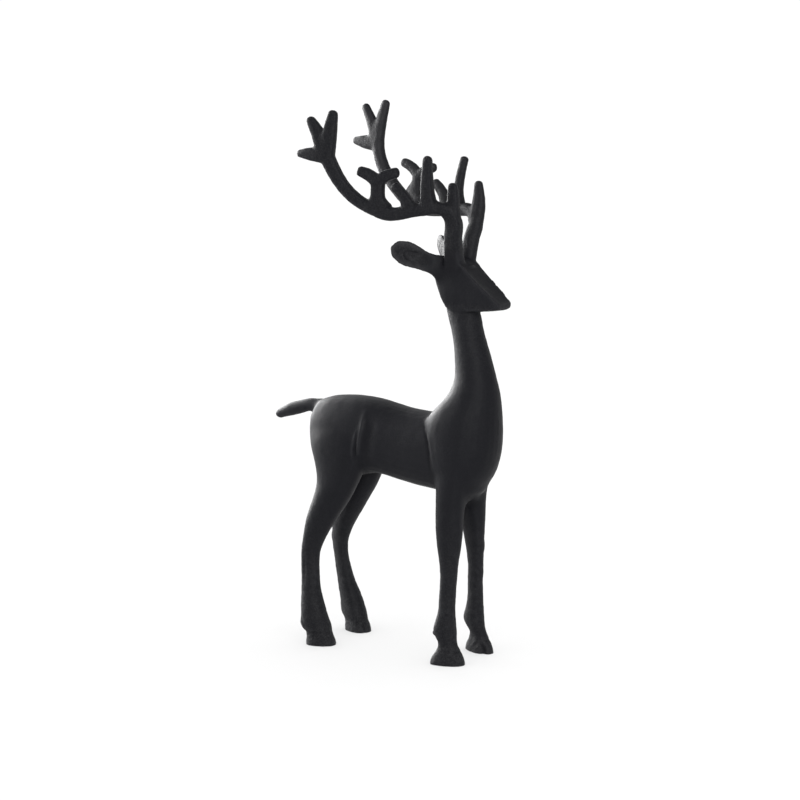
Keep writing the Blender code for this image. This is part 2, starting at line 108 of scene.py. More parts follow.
# Folds pressed in or raised along a path of the left side: rise, half width, path.
FOLDS = [
    (-1.3, 5.0, [(-14.6, 19.0, 200.0), (-15.0, 26.0, 184.0), (-18.0, 27.0, 170.0), (-20.5, 22.0, 150.0)]),
    (1.2, 2.4, [(-22.0, 18.0, 202.0), (-21.6, 25.5, 186.0), (-24.5, 27.0, 169.0), (-28.5, 25.0, 155.0)]),
    (-2.6, 2.2, [(70.9, 16.4, -6.0), (70.0, 17.2, 4.0), (68.0, 18.4, 10.0)]),
    (-1.6, 1.6, [(-51.0, 21.5, -6.0), (-52.0, 22.2, 3.0), (-53.0, 23.0, 9.0)]),
]
# Places where the joins are soft: reach each way and middle, on the left side.
SOFT = [
    ((50.0, 60.0, 26.0), (-45.0, 10.0, 190.0)),
    ((28.0, 60.0, 32.0), (68.0, 10.0, 153.0)),
    ((22.0, 60.0, 14.0), (40.0, 0.0, 205.0)),
    ((20.0, 26.0, 16.0), (60.0, 6.0, 132.0)),
    ((12.0, 14.0, 16.0), (41.0, 10.0, 312.0)),
    ((12.0, 10.0, 11.0), (-85.0, 3.0, 188.0)),
    ((26.0, 60.0, 34.0), (-72.0, 10.0, 164.0)),
]
SOFT_CRISPNESS = 1.6
# Rounds of smoothing at the soft joins and on everything.
BODY_ROUNDS = 24
ALL_ROUNDS = 2

# Legs: height, centre x, centre y, half depth, half width. The toes turn in.
TOE_TURN = math.radians(20.0)
FRONT_LEG = [
    (186.0, 66.0, 12.0, 12.0, 10.0),
    (172.0, 64.5, 14.0, 17.0, 12.8),
    (158.0, 62.0, 15.2, 16.5, 12.6),
    (140.0, 59.4, 16.0, 12.9, 11.5),
    (124.0, 58.5, 17.0, 11.8, 9.8),
    (110.0, 58.8, 18.5, 11.1, 8.0),
    (97.0, 59.4, 19.4, 10.1, 6.6),
    (86.0, 59.7, 20.2, 8.4, 6.0),
    (72.0, 60.0, 21.0, 7.1, 5.7),
    (55.0, 59.3, 21.8, 6.9, 5.5),
    (39.0, 58.6, 22.4, 7.6, 6.4),
    (24.0, 58.2, 22.9, 9.3, 7.1),
    (15.5, 61.2, 23.8, 8.0, 5.8),
    (9.0, 61.7, 24.4, 11.3, 7.1),
    (3.0, 61.7, 24.9, 14.1, 8.0),
    (-2.0, 61.7, 25.0, 14.5, 8.2),
]
HIND_LEG = [
    (202.0, -46.0, 8.0, 12.0, 6.0),
    (190.0, -47.3, 11.6, 21.8, 12.0),
    (178.0, -48.9, 14.3, 28.0, 14.2),
    (160.0, -49.1, 15.3, 27.0, 14.2),
    (144.0, -50.0, 16.4, 20.7, 12.8),
    (130.0, -53.5, 17.3, 17.2, 11.5),
    (116.0, -60.2, 18.3, 15.0, 10.6),
    (102.0, -67.0, 19.4, 12.6, 9.2),
    (91.0, -71.6, 20.2, 10.3, 7.4),
    (78.0, -75.0, 21.6, 8.3, 5.5),
    (60.0, -74.4, 23.6, 7.8, 5.2),
    (45.0, -72.3, 25.8, 8.4, 6.4),
    (34.0, -69.9, 27.4, 9.9, 7.7),
    (22.0, -67.0, 28.3, 11.8, 8.8),
    (15.0, -65.4, 28.2, 12.7, 9.0),
    (9.0, -62.5, 27.8, 11.2, 8.6),
    (3.0, -61.3, 27.6, 12.6, 9.4),
    (-2.0, -61.1, 27.6, 12.8, 9.6),
]
LEG_POWER = 2.3

# The arch between the forelegs: distance from the middle, centre x, centre height, half length,
# half height.
ARCH = [
    (0.0, 60.0, 137.5, 11.0, 7.5),
    (4.0, 60.0, 137.0, 11.0, 7.6),
    (9.0, 59.8, 135.0, 11.2, 8.2),
    (18.0, 59.0, 132.0, 11.0, 9.0),
]

# Head: x, ridge height, crown rise, half width at the ridge, half width at the jaw, jaw height.
HEAD = [
    (38.0, 314.5, 0.8, 9.0, 8.6, 309.0),
    (40.6, 317.5, 1.0, 11.0, 10.4, 303.6),
    (44.6, 321.2, 1.2, 12.3, 11.2, 296.6),
    (49.2, 324.4, 1.2, 12.9, 11.0, 288.4),
    (57.0, 326.8, 1.0, 13.1, 10.7, 286.4),
    (62.5, 326.4, 0.6, 13.0, 10.4, 286.2),
    (69.8, 319.1, -0.4, 12.7, 10.1, 286.5),
    (79.0, 310.5, -1.0, 12.3, 9.8, 287.1),
    (87.4, 303.6, -1.0, 11.7, 9.4, 288.1),
    (95.0, 297.0, -0.6, 11.0, 9.1, 289.0),
    (98.6, 293.8, 0.0, 10.3, 8.9, 289.5),
]

EAR_ROOT = (46.0, 9.0, 319.2)
EAR_TIP = (14.2, 36.3, 337.4)
EAR_FACE = (0.65, 0.74, 0.10)
EAR_BACK = 4.2
EAR_RIM = 2.4
EAR_DISH = 4.6
# Ear outline from the root to the tip: share of the length, half width.
EAR_LEAF = [
    (0.0, 11.4), (0.1, 10.0), (0.22, 8.5), (0.4, 8.5), (0.6, 9.8), (0.75, 9.8), (0.88, 7.8), (0.96, 4.7),
    (1.0, 0.8),
]

# Tail: x, height, half thickness, half width.
TAIL = [
    (-74.0, 196.3, 6.2, 7.5),
    (-79.5, 194.6, 8.0, 6.8),
    (-83.0, 195.2, 6.9, 6.2),
    (-87.0, 196.1, 5.8, 5.8),
    (-98.0, 194.0, 5.5, 5.6),
    (-110.0, 190.4, 5.4, 5.4),
    (-119.3, 186.8, 4.3, 4.2),
]
TAIL_TIP = 6.5

# Beams: x, distance from the middle, height, then the two half thicknesses. They were carved
# one at a time and differ a little.
BEAM = {
    RIGHT: [
        (56.0, 5.0, 312.0, 9.6, 6.2),
        (57.0, 9.2, 325.0, 8.6, 5.8),
        (57.8, 11.5, 333.0, 7.6, 5.7),
        (59.1, 14.5, 346.0, 7.2, 5.6),
        (60.8, 17.3, 359.0, 7.0, 5.4),
        (54.5, 20.5, 367.8, 5.5, 5.2),
        (43.0, 24.0, 368.0, 5.2, 5.0),
        (26.0, 27.3, 365.3, 5.3, 5.0),
        (8.5, 29.5, 362.5, 5.5, 5.0),
        (-4.5, 31.0, 365.6, 5.2, 5.0),
        (-18.0, 32.5, 371.6, 5.1, 5.0),
        (-29.8, 34.5, 380.9, 5.3, 5.0),
        (-39.4, 36.0, 393.7, 5.7, 5.0),
        (-46.0, 37.5, 406.4, 6.2, 5.0),
    ],
    LEFT: [
        (56.4, 5.0, 312.0, 9.0, 6.2),
        (57.2, 9.2, 325.0, 8.0, 5.8),
        (58.0, 11.5, 333.0, 7.2, 5.7),
        (59.7, 14.5, 346.0, 6.6, 5.6),
        (61.2, 17.3, 357.5, 5.8, 5.4),
        (54.0, 20.5, 363.9, 5.6, 5.2),
        (42.0, 24.0, 364.0, 5.5, 5.0),
        (26.0, 27.3, 363.0, 5.4, 5.0),
        (8.5, 29.5, 361.9, 5.3, 5.0),
        (-5.2, 31.0, 364.0, 5.2, 5.0),
        (-19.4, 32.5, 372.4, 5.1, 5.0),
        (-32.4, 34.5, 384.6, 5.1, 5.0),
        (-42.2, 36.0, 399.0, 5.1, 5.0),
        (-46.9, 37.5, 413.0, 5.6, 5.0),
    ],
}
# Tines: the beam's row that each grows from, then its places from there and half thicknesses.
TINES = {
    RIGHT: [
        (4, [(0.5, 0.0, -2.0, 6.4, 4.8), (0.6, 0.7, 13.5, 5.2, 3.6), (0.2, 1.1, 26.9, 4.4, 2.6)]),
        (6, [(-0.6, 1.0, -0.5, 9.0, 5.0), (-0.4, 2.0, 8.5, 6.4, 4.6), (-0.4, 2.8, 18.5, 5.2, 4.2),
             (0.6, 4.2, 38.8, 4.0, 3.2)]),
        (7, [(1.0, 0.3, 2.0, 6.4, 4.6), (-2.6, 0.8, 9.2, 5.0, 4.1), (-11.8, 1.7, 19.0, 4.3, 3.2)]),
        (9, [(2.2, -1.0, 3.0, 12.4, 5.0), (2.0, -0.9, 9.0, 6.8, 4.8), (2.2, -0.8, 14.5, 5.7, 4.6),
             (2.4, -0.6, 23.0, 6.0, 4.4)]),
        (9, [(2.4, -0.6, 22.4, 5.2, 4.2), (-5.0, 0.2, 27.4, 5.1, 3.9), (-12.9, 0.8, 30.1, 4.5, 3.5)]),
        (9, [(2.4, -0.6, 22.4, 5.2, 4.2), (10.2, -1.8, 27.5, 4.9, 3.9), (18.2, -2.8, 30.0, 4.4, 3.5)]),
        (13, [(-1.0, 0.3, 1.4, 6.6, 5.0), (-12.5, 1.9, 2.1, 5.9, 4.2), (-24.0, 3.1, 2.5, 3.4, 2.6)]),
        (13, [(-1.0, 0.1, -1.0, 7.4, 5.0), (-6.5, 0.9, 15.5, 6.4, 4.3), (-14.6, 1.9, 29.2, 3.9, 3.1)]),
        (13, [(-0.3, 0.0, -1.0, 6.2, 5.0), (2.3, 0.0, 17.0, 6.1, 4.5), (5.6, -0.2, 34.8, 4.2, 3.3)]),
    ],
    LEFT: [
        (4, [(-0.8, 0.0, -2.0, 7.0, 5.0), (2.0, 0.7, 14.0, 5.9, 4.0), (1.3, 1.1, 27.9, 3.8, 2.8)]),
        (6, [(-2.0, 1.0, 1.0, 7.6, 5.0), (-3.1, 1.9, 10.0, 4.7, 4.6), (-2.9, 2.8, 20.0, 4.1, 4.0),
             (1.1, 4.2, 39.8, 3.8, 3.1)]),
        (7, [(0.8, 0.3, 2.0, 6.0, 4.6), (-1.8, 0.8, 10.4, 5.2, 4.1), (-10.4, 1.7, 21.2, 4.1, 3.0)]),
        (9, [(0.6, -1.0, 4.0, 13.6, 5.0), (-0.6, -0.9, 11.5, 9.4, 4.7), (1.6, -0.8, 18.0, 5.8, 4.6),
             (2.8, -0.6, 26.6, 5.2, 4.4)]),
        (9, [(2.8, -0.6, 25.6, 5.0, 4.2), (-3.6, 0.2, 31.8, 4.5, 3.9), (-11.3, 0.8, 35.4, 4.0, 3.4)]),
        (9, [(2.8, -0.6, 25.6, 5.0, 4.2), (10.7, -1.8, 29.4, 4.6, 3.9), (18.6, -2.8, 32.6, 3.9, 3.3)]),
        (13, [(-1.0, 0.3, 0.7, 6.8, 5.0), (-11.8, 1.9, 1.5, 6.1, 4.4), (-23.4, 3.1, 2.3, 3.4, 2.8)]),
        (13, [(0.1, 0.1, -1.0, 6.6, 5.0), (-4.6, 0.9, 14.5, 5.5, 4.3), (-12.8, 1.9, 30.2, 4.0, 2.9)]),
        (13, [(-0.3, 0.0, -1.0, 5.7, 5.0), (3.0, 0.0, 17.0, 5.3, 4.5), (8.1, -0.2, 33.8, 4.1, 3.3)]),
    ],
}
# Lengths of the round ends of a beam's tip, a tine's root and a tine's tip.
BEAM_TIP = 4.0
TINE_ROOT = 3.0
TINE_TIP = 3.4
# The right antler's section is squarer than the left one's. Girth scales both, and splay turns
# their flat sides.
ANTLER_POWER = {RIGHT: 4.2, LEFT: 2.5}
ANTLER_GIRTH = 0.965
ANTLER_SPLAY = 0.25


def fair(rows, step=STEP):
    """Rows read along a natural cubic spline through the given ones, about a step apart."""
    rows = np.asarray(rows, float)
    count = len(rows)
    gaps = np.linalg.norm(np.diff(rows[:, :3], axis=0), axis=1)
    knots = np.concatenate([[0.0], np.cumsum(gaps)])
    matrix = np.eye(count)
    target = np.zeros_like(rows)
    for i in range(1, count - 1):
        matrix[i, i - 1 : i + 2] = gaps[i - 1], 2.0 * (gaps[i - 1] + gaps[i]), gaps[i]
        target[i] = 6.0 * ((rows[i + 1] - rows[i]) / gaps[i] - (rows[i] - rows[i - 1]) / gaps[i - 1])
    bend = np.linalg.solve(matrix, target)
    places = np.linspace(0.0, knots[-1], max(3, round(knots[-1] / step) + 1))
    span = np.clip(np.searchsorted(knots, places, side="right") - 1, 0, count - 2)
    before = (knots[span + 1] - places)[:, None]
    after = (places - knots[span])[:, None]
    width = gaps[span][:, None]
    return (
        (bend[span] * before**3 + bend[span + 1] * after**3) / (6.0 * width)
        + (rows[span] / width - bend[span] * width / 6.0) * before
        + (rows[span + 1] / width - bend[span + 1] * width / 6.0) * after
    )


def oval(power):
    """Points of a unit superellipse; a power of 2 is a circle and a higher one is squarer."""
    turn = np.linspace(0.0, 2.0 * math.pi, SIDES, endpoint=False)
    across, along = np.cos(turn), np.sin(turn)
    grow = (np.abs(across) ** power + np.abs(along) ** power) ** (-1.0 / power)
    return across * grow, along * grow


def unit(vector):
    vector = np.asarray(vector, float)
    return vector / np.linalg.norm(vector)


def rounded(size, steps=5):
    """Offset and scale of the rings of a round end that is size long."""
    angles = np.linspace(0.0, 0.5 * math.pi, steps + 1)[1:]
    return [(size * math.sin(a), max(math.cos(a), 0.04)) for a in angles]


class Casting:
    """The closed lofts of the figure, gathered in one mesh before they are cast as one."""

    def __init__(self):
        self.mesh = bmesh.new()

    def loft(self, rings):
        rows = [[self.mesh.verts.new(point) for point in ring] for ring in rings]
        count = len(rows[0])
        faces = []
        for low, high in zip(rows, rows[1:]):
            for i in range(count):
                j = (i + 1) % count
                faces.append(self.mesh.faces.new((low[i], low[j], high[j], high[i])))
        faces.append(self.mesh.faces.new(rows[0][::-1]))
        faces.append(self.mesh.faces.new(rows[-1]))
        bmesh.ops.recalc_face_normals(self.mesh, faces=faces)

    def tube(self, rows, power, start=0.0, end=0.0, splay=0.0):
        """A limb through rows of x, y, z and two half thicknesses, with round ends. Its flat sides
        face left and right, and are turned by the splay behind the brow."""
        rows = fair(rows)
        centres = rows[:, :3]
        ways = np.gradient(centres, axis=0)
        first, last = unit(ways[0]), unit(ways[-1])
        stations = [(c, unit(w), a, b) for c, w, (a, b) in zip(centres, ways, rows[:, 3:5])]
        if start:
            a, b = rows[0, 3:5]
            ends = [(centres[0] - first * out, first, a * s, b * s) for out, s in rounded(start)]
            stations = ends[::-1] + stations
        if end:
            a, b = rows[-1, 3:5]
            stations += [(centres[-1] + last * out, last, a * s, b * s) for out, s in rounded(end)]
        across, along = oval(power)
        rings = []
        for centre, way, a, b in stations:
            face = np.array([splay * np.clip((50.0 - centre[0]) / 30.0, 0.0, 1.0), 1.0, 0.0])
            side = unit(face - way * way.dot(face))
            other = np.cross(side, way)
            rings.append(centre + np.outer(across * a, other) + np.outer(along * b, side))
        self.loft(rings)


def add_trunk(casting):
    rows = fair(TRUNK)
    up, side = oval(TRUNK_POWER)
    rings = []
    x, top, bottom, half, wide = rows[0]
    stations = [
        (x - out, wide + (top - wide) * s, wide - (wide - bottom) * s, half * s, wide)
        for out, s in rounded(RUMP_LENGTH, 7)
    ][::-1]
    for x, top, bottom, half, wide in stations + list(rows):
        height = np.where(up > 0.0, top - wide, wide - bottom)
        rings.append(np.stack([np.full(SIDES, x), side * half, wide + up * height], axis=1))
    casting.loft(rings)


def add_neck(casting):
    rows = fair(NECK)
    back_along, back_side = oval(CHEST_BACK_POWER)
    fore_along, fore_side = oval(CHEST_FRONT_POWER)
    rings = []
    z, back, front, half = rows[-1]
    middle = 0.5 * (back + front)
    stations = list(rows) + [
        (z - out, middle + (back - middle) * s, middle + (front - middle) * s, half * s)
        for out, s in rounded(CHEST_DROP, 6)
    ]
    for z, back, front, half in stations:
        middle, reach = 0.5 * (back + front), 0.5 * (front - back)
        mix = np.clip((NECK[4][0] - z) / 34.0, 0.0, 1.0)
        mix *= mix * (3.0 - 2.0 * mix)
        along = np.where(fore_along < 0.0, mix * back_along + (1.0 - mix) * fore_along, fore_along)
        side = np.where(fore_along < 0.0, mix * back_side + (1.0 - mix) * fore_side, fore_side)
        rings.append(np.stack([middle + along * reach, side * half, np.full(SIDES, z)], axis=1))
    casting.loft(rings)


def add_leg(casting, rows, flank):
    turn = -flank * TOE_TURN
    along, side = oval(LEG_POWER)
    rings = []
    for z, x, y, depth, width in fair(rows):
        share = min(1.0, max(0.0, (140.0 - z) / 40.0))
        angle = turn * share
        dx = along * depth * math.cos(angle) - side * width * math.sin(angle)
        dy = along * depth * math.sin(angle) + side * width * math.cos(angle)
        rings.append(np.stack([x + dx, flank * y + dy, np.full(SIDES, z)], axis=1))
    casting.loft(rings)


def add_head(casting):
    rings = []
    for x, ridge, crown, brow, jaw, chin in HEAD:
        outline = [
            (-brow, ridge), (-0.5 * brow, ridge + 0.75 * crown), (0.0, ridge + crown),
            (0.5 * brow, ridge + 0.75 * crown), (brow, ridge),
            (jaw + 0.35 * (brow - jaw) + 0.8, ridge + 0.62 * (chin - ridge)),
            (jaw, chin), (0.5 * jaw, chin - 0.8), (0.0, chin - 1.0), (-0.5 * jaw, chin - 0.8), (-jaw, chin),
            (-(jaw + 0.35 * (brow - jaw) + 0.8), ridge + 0.62 * (chin - ridge)),
        ]
        rings.append([(x, y, z) for y, z in outline])
    casting.loft(rings)


def add_ear(casting, flank):
    mirror = np.array([1.0, flank, 1.0])
    root, tip = np.array(EAR_ROOT) * mirror, np.array(EAR_TIP) * mirror
    way = unit(tip - root)
    face = np.array(EAR_FACE) * mirror
    face = unit(face - way * face.dot(way))
    across = np.cross(way, face)
    length = np.linalg.norm(tip - root)
    turn = np.linspace(0.0, 2.0 * math.pi, SIDES, endpoint=False)
    c, s = np.cos(turn), np.sin(turn)
    rings = []
    for share, half in fair([(share, 0.0, 0.0, half) for share, half in EAR_LEAF], 0.05)[:, (0, 3)]:
        plump = half / max(half for _, half in EAR_LEAF)
        hollow = EAR_DISH * math.sin(math.pi * min(1.0, max(0.0, (share - 0.2) / 0.75))) ** 0.8
        thick = 0.35 + 0.65 * plump
        front = EAR_RIM * thick * np.abs(s) - hollow * (s * s) ** 2
        back = -EAR_BACK * thick * np.abs(s)
        depth = np.where(s > 0.0, front, back)
        centre = root + way * length * share
        rings.append(centre + np.outer(c * half, across) + np.outer(depth, face))
    casting.loft(rings)


def add_arch(casting):
    across, up = oval(2.4)
    rows = [(-y, x, z, a, b) for y, x, z, a, b in ARCH[:0:-1]] + ARCH
    rings = [np.stack([x + a * across, np.full(SIDES, y), z + b * up], axis=1) for y, x, z, a, b in rows]
    casting.loft(rings)


def add_tail(casting):
    rows = [(x, 0.0, z, thick, wide) for x, z, thick, wide in TAIL]
    casting.tube(rows, 2.2, end=TAIL_TIP)


def add_antler(casting, flank):
    beam = np.array(BEAM[flank])
    beam[:, 1] *= flank
    beam[:, 3:] *= ANTLER_GIRTH
    casting.tube(beam, ANTLER_POWER[flank], end=BEAM_TIP, splay=flank * ANTLER_SPLAY)
    for row, places in TINES[flank]:
        tine = np.array(places)
        tine[:, 1] *= flank
        tine[:, :3] += beam[row, :3]
        tine[:, 3:] *= ANTLER_GIRTH
        casting.tube(
            tine, ANTLER_POWER[flank], start=TINE_ROOT, end=TINE_TIP, splay=flank * ANTLER_SPLAY
        )


def along_path(points, path):
    """How far each point is from a path of straight lines, and how far along it lies (0 to 1)."""
    nearest = np.full(len(points), np.inf)
    place = np.zeros(len(points))
    count = len(path) - 1
    for i in range(count):
        start, run = np.array(path[i]), np.subtract(path[i + 1], path[i])
        share = np.clip((points - start).dot(run) / run.dot(run), 0.0, 1.0)
        gap = np.linalg.norm(points - start - share[:, None] * run, axis=1)
        place = np.where(gap < nearest, (i + share) / count, place)
        nearest = np.minimum(nearest, gap)
    return nearest, place


def blend(points, edges, shares, rounds):
    """Each point drawn towards the middle of its neighbours, by its share, round after round."""
    ends = np.concatenate([edges, edges[:, ::-1]])
    count = np.bincount(ends[:, 0], minlength=len(points))[:, None]
    for _ in range(rounds):
        middle = [np.bincount(ends[:, 0], points[ends[:, 1], k], len(points)) for k in range(3)]
        points = points + (np.stack(middle, axis=1) / count - points) * shares[:, None]
    return points


# Finer folds, in the same way.
FINE_FOLDS = [
    # The flank: the grooves before and behind its main ridge, and the second ridge.
    (-0.6, 1.8, [(-18.4, 21.5, 197.0), (-18.2, 25.6, 186.0), (-20.4, 26.6, 170.0), (-24.0, 24.0, 154.0)]),
    (-0.9, 1.3, [(-25.4, 26.0, 178.0), (-27.8, 26.3, 168.8), (-28.9, 25.3, 156.0)]),
    (0.6, 1.5, [(-24.1, 24.4, 189.8), (-27.5, 26.5, 178.5), (-30.4, 27.0, 168.0), (-31.0, 26.0, 158.0)]),
    # The groin's lip.
    (0.9, 2.4, [(-27.0, 27.0, 150.0), (-20.0, 22.0, 145.0), (-14.0, 10.0, 143.5), (-12.0, -4.0, 143.5)]),
    # The crease behind the shoulder.
    (-0.8, 1.3, [(33.0, 14.7, 196.4), (39.1, 22.1, 187.5), (41.8, 24.6, 178.3), (43.7, 25.2, 166.4),
                 (45.2, 23.4, 153.9)]),
    (0.5, 2.2, [(35.0, 13.0, 202.0), (42.0, 22.5, 188.5), (45.6, 25.6, 178.3), (48.0, 26.6, 166.4),
                (50.0, 25.0, 153.9)]),
    # Sinews behind the shanks, and knees and hocks.
    (-0.6, 1.3, [(53.5, 26.5, 92.0), (53.6, 27.0, 60.0), (53.0, 28.0, 30.0)]),
    (-0.6, 1.3, [(-79.5, 26.0, 84.0), (-77.0, 28.5, 60.0), (-74.0, 32.5, 34.0)]),
    (0.7, 3.0, [(66.5, 20.0, 96.0), (67.0, 20.5, 84.0)]),
    (0.8, 2.6, [(-82.0, 21.0, 86.0), (-82.5, 22.0, 76.0)]),
    # The ridges of the head and the brow in front of the antlers.
    (0.6, 0.8, [(62.0, 12.8, 326.0), (69.8, 12.5, 319.0), (79.0, 12.1, 310.4), (87.4, 11.5, 303.5),
                (95.0, 10.8, 297.0)]),
    (0.5, 3.0, [(66.0, 2.0, 322.5), (69.0, 2.0, 319.5)]),
    # The ear: the dark crease under its upper rim, the crease's bent end, the lobe and the rim.
    (-1.0, 1.2, [(20.8, 29.0, 332.6), (24.1, 26.3, 333.3), (27.1, 23.8, 332.2), (29.6, 21.7, 331.5),
                 (33.4, 18.6, 330.0)]),
    (-0.8, 1.0, [(21.4, 28.6, 332.0), (22.8, 28.0, 329.9), (24.6, 26.7, 326.4)]),
    (0.8, 1.8, [(24.6, 26.6, 329.0), (28.0, 23.8, 327.4), (32.0, 20.4, 326.0)]),
    (0.6, 0.9, [(15.6, 33.2, 336.6), (18.6, 30.4, 338.4), (21.9, 27.4, 338.6), (26.9, 23.4, 336.6),
                (32.0, 19.0, 333.6)]),
    # The front hoofs: hoof head, pits in the cleft, the notch of the pastern and the spur over it.
    (-0.4, 1.0, [(51.0, 29.0, 10.0), (60.0, 31.6, 11.4), (69.0, 29.0, 11.0), (72.0, 22.0, 10.6),
                 (69.0, 16.5, 10.4)]),
    (-0.9, 1.1, [(66.5, 15.6, 8.6), (70.5, 17.0, 5.0), (72.0, 17.6, 1.0)]),
    (-0.9, 1.1, [(60.0, 15.6, 5.4), (64.5, 15.6, 8.6)]),
    (-0.9, 1.3, [(50.5, 29.0, 17.4), (56.0, 31.0, 16.8)]),
    (0.9, 2.6, [(49.8, 27.5, 27.0), (50.0, 27.5, 22.5)]),
    # The hind hoofs: hoof head, the split of the dewclaw and its spur.
    (-0.6, 0.9, [(-74.0, 34.0, 10.6), (-68.0, 37.4, 10.8), (-60.0, 37.6, 11.0), (-52.0, 32.0, 11.2)]),
    (-0.9, 1.1, [(-77.0, 33.5, 27.0), (-74.4, 36.0, 21.0), (-70.6, 37.6, 14.6)]),
    (1.3, 1.9, [(-77.6, 30.5, 20.0), (-76.6, 32.0, 15.0)]),
    (-0.9, 1.2, [(-74.6, 34.0, 10.4), (-70.0, 36.5, 9.6)]),
    (-0.7, 1.0, [(-71.0, 36.5, 8.6), (-65.0, 37.8, 9.4)]),
]
# Notches that are filled, reach and middle: the top of the tail's root and the roots of the ears.
FILLED = [((15.0, 12.0, 9.0), (-79.0, 0.0, 201.0)), ((11.0, 10.0, 14.0), (46.0, 14.5, 326.0))]
FILLED_CRISPNESS = 2.5
# The smooth back of the rump, crispness, reach and middle, and its edge below the tail.
RUMP_BACK = (2.0, (24.0, 60.0, 30.0), (-82.0, 0.0, 168.0))
UNDER_TAIL = (189.0, -6.0)
RUMP_ROUNDS = 60
# The antlers begin at one height before this line and at another behind it.
BROW_LINE = 48.0
HORN_BEFORE, HORN_BEHIND, HORN_BLEND = 328.0, 342.0, 8.0
# Turns of filling the forks of the antlers, rounds in each, and turns of levelling their flat sides.
# A turn of levelling smooths by one share and swells back by another.
FILL_TURNS, FILL_ROUNDS = 4, 8
LEVEL_TURNS, LEVEL_SHARES = 30, (0.5, -0.47)
# Where the zones of the casting begin, and over what length they come in: the feet, the hoofs, the
# nape and its top, the ears by height and by length, and the even rump and its lower edge.
FEET, HOOFS = (125.0, -60.0), (18.0, -8.0)
NAPE, NAPE_TOP = (225.0, 50.0), 292.0
EARS_UP, EARS_TOP, EARS_BACK = (312.0, 8.0), 346.0, (38.0, -8.0)
RUMP, RUMP_FLOOR = (-50.0, -15.0), 140.0
# How rough the casting is in each zone, where the body is 0, and how much evener the rump is.
ROUGH_HORN, ROUGH_FOOT, ROUGH_HOOF, ROUGH_EAR, ROUGH_NAPE, EVEN_RUMP = 0.7, 0.7, 0.5, 1.2, 0.45, 0.5
# The hand's unevenness: period in millimetres, height on the body, further height where the casting
# is rough, and whether the rump is evener.
UNEVENNESS = [(11.0, 0.6, 0.1, 1.0), (5.0, 0.3, 0.5, 0.0), (2.6, 0.15, 0.45, 0.0)]
# Rounds of smoothing that tell hollows from edges, and the depth of a full hollow in millimetres.
HOLLOW_ROUNDS, HOLLOW_DEPTH = 8, 0.25
# Painted highlight on the inner sides of the antlers, lightening in the dishes of the ears and dust on
# the body's edges, and how the painted highlight changes along the antlers: x and share.
INNER_HORN_HIGHLIGHT, EAR_LIGHTENING, DUST_EDGE = 0.55, 0.4, 0.3
HIGHLIGHT_ALONG = ((-60.0, -44.0, 0.0, 42.0), (0.3, 1.3, 1.0, 0.4))
# Chips and pits, each in its own place: rise, half width, place.
CHIPS = [
    (-0.9, 1.0, (69.5, 21.5, 9.0)),
    (-0.8, 0.9, (71.5, 24.0, 6.5)),
    (-0.9, 1.0, (67.0, 18.5, 6.0)),
    (-0.7, 0.8, (72.5, 20.5, 5.0)),
    (-0.7, 0.8, (66.5, 21.0, 11.5)),
    (-1.1, 1.0, (66.3, -21.4, 37.3)),
    (-0.5, 1.2, (62.0, -27.5, 41.0)),
    (-0.4, 0.9, (52.0, -27.5, 118.0)),
    (0.5, 0.8, (76.0, -24.5, 188.0)),
    (0.5, 0.8, (57.0, -28.3, 158.0)),
]


def along_noise(points, period, seed):
    """Smooth noise from -1 to 1 at each point, with bumps about one period wide."""
    shift = Vector((17.3 * seed, -9.1 * seed, 5.7 * seed))
    return np.array([noise.noise(Vector(point) / period + shift) for point in points])


def mesh_array(values, name, width, kind=float):
    """A property of a mesh's points or edges, one row for each."""
    out = np.empty(width * len(values), kind)
    values.foreach_get(name, out)
    return out.reshape(-1, width)


def ramp(values, start, length):
    """A share that grows from 0 at the start to 1 over a length, downwards if it is negative."""
    return np.clip((values - start) / length, 0.0, 1.0)


def nearness(points, crispness, reach, middle):
    """A share of 1 round a middle that falls to 0 at its reach, on both sides of the figure."""
    folded = np.stack([points[:, 0], np.abs(points[:, 1]), points[:, 2]], axis=1)
    away = np.linalg.norm((folded - middle) / reach, axis=1)
    return np.clip(crispness * (1.0 - away), 0.0, 1.0)


def nearest_of(points, crispness, places):
    """The greatest nearness to any of several places."""
    return np.max([nearness(points, crispness, reach, middle) for reach, middle in places], axis=0)


